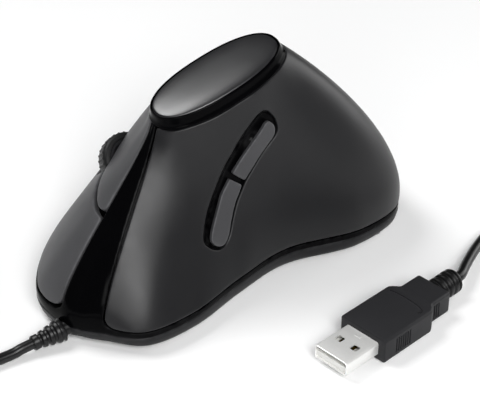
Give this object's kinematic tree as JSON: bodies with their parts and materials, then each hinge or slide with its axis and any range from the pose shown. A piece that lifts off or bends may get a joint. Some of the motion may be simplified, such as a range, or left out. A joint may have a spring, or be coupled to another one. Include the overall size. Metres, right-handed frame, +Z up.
{
  "type": "vertical mouse",
  "caption": "Wired vertical ergonomic mouse for the right hand, with finger buttons beside a scroll wheel, thumb buttons in a trough, a top cap and a plug on a coiled cord.",
  "frame": {"origin": "on the desk, under the middle of the mouse's body", "axes": "+X to the finger side, +Y to the front where the cord leaves, +Z up"},
  "size_m": [0.1516, 0.2112, 0.0703],
  "materials": {
    "soft_grip": "dark grey soft-touch coating",
    "finger_grey": "dark grey satin moulding",
    "thumb_grey": "dark grey satin moulding",
    "cap_grey": "mid grey fine matte",
    "gloss_black": "polished black moulding",
    "base_black": "black satin moulding",
    "foot_plastic": "slick black glide plastic",
    "screw_steel": "zinc-plated steel",
    "wheel_plastic": "black plastic",
    "tyre_rubber": "ribbed black rubber",
    "inner_plastic": "black plastic",
    "encoder_plastic": "green plastic",
    "switch_black": "black plastic",
    "board_green": "green solder mask",
    "lens_clear": "clear optical plastic",
    "cord_sheath": "smooth black sheath",
    "boot_rubber": "soft black moulding",
    "tie_black": "black tie strip",
    "plug_black": "black satin moulding",
    "plug_steel": "nickel-plated steel",
    "plug_white": "white insulator",
    "contact_brass": "gold-plated contacts"
  },
  "bodies": {
    "mouse": {"grip_shell": "soft_grip", "top_cap": "cap_grey", "frame_shell": "gloss_black", "top_rim": "gloss_black", "thumb_bezel": "gloss_black", "base_cover": "base_black", "glide_feet": "foot_plastic", "case_screws": "screw_steel", "cradle": "inner_plastic", "wheel_switch": "switch_black", "index_switch": "switch_black", "middle_switch": "switch_black", "thumb_switches": "switch_black", "board_parts": "switch_black", "finger_pcb": "board_green", "thumb_pcb": "board_green", "main_pcb": "board_green", "sensor_lens": "lens_clear", "inner_cable": "cord_sheath", "cord_lead": "cord_sheath", "cord_coil": "cord_sheath", "cord_tail": "cord_sheath", "cord_relief": "boot_rubber", "plug_relief": "boot_rubber", "cord_tie": "tie_black", "plug_body": "plug_black", "plug_shell": "plug_steel", "plug_tongue": "plug_white", "plug_contacts": "contact_brass"},
    "index_key": {"index_button": "finger_grey"},
    "middle_key": {"middle_button": "finger_grey"},
    "thumb_key_high": {"thumb_button_high": "thumb_grey"},
    "thumb_key_low": {"thumb_button_low": "thumb_grey"},
    "wheel_carriage": {"wheel_carrier": "inner_plastic", "wheel_encoder": "encoder_plastic"},
    "wheel": {"wheel_hub": "wheel_plastic", "wheel_tyre": "tyre_rubber"}
  },
  "joints": [
    {"name": "index_press", "type": "hinge", "parent": "mouse", "child": "index_key", "pos_m": [0.00987, -0.00547, 0.0505], "axis": [0.5996, -0.2808, -0.7494], "range_deg": [0, 1.2], "stiffness_Nm_per_rad": 1.2},
    {"name": "middle_press", "type": "hinge", "parent": "mouse", "child": "middle_key", "pos_m": [0.02891, -0.01388, 0.02393], "axis": [0.4195, -0.1741, -0.8909], "range_deg": [0, 0.8], "stiffness_Nm_per_rad": 2.5},
    {"name": "thumb_high_press", "type": "slide", "parent": "mouse", "child": "thumb_key_high", "axis": [1, 0, 0], "range_m": [0, 0.0007], "stiffness_N_per_m": 900},
    {"name": "thumb_low_press", "type": "slide", "parent": "mouse", "child": "thumb_key_low", "axis": [1, 0, 0], "range_m": [0, 0.0007], "stiffness_N_per_m": 900},
    {"name": "wheel_press", "type": "slide", "parent": "mouse", "child": "wheel_carriage", "axis": [-0.7071, 0, -0.7071], "range_m": [0, 0.0006], "stiffness_N_per_m": 1500},
    {"name": "wheel_spin", "type": "hinge", "parent": "wheel_carriage", "child": "wheel", "pos_m": [0.01299, 0.02128, 0.03092], "axis": [0.7071, 0, -0.7071], "continuous": true}
  ]
}
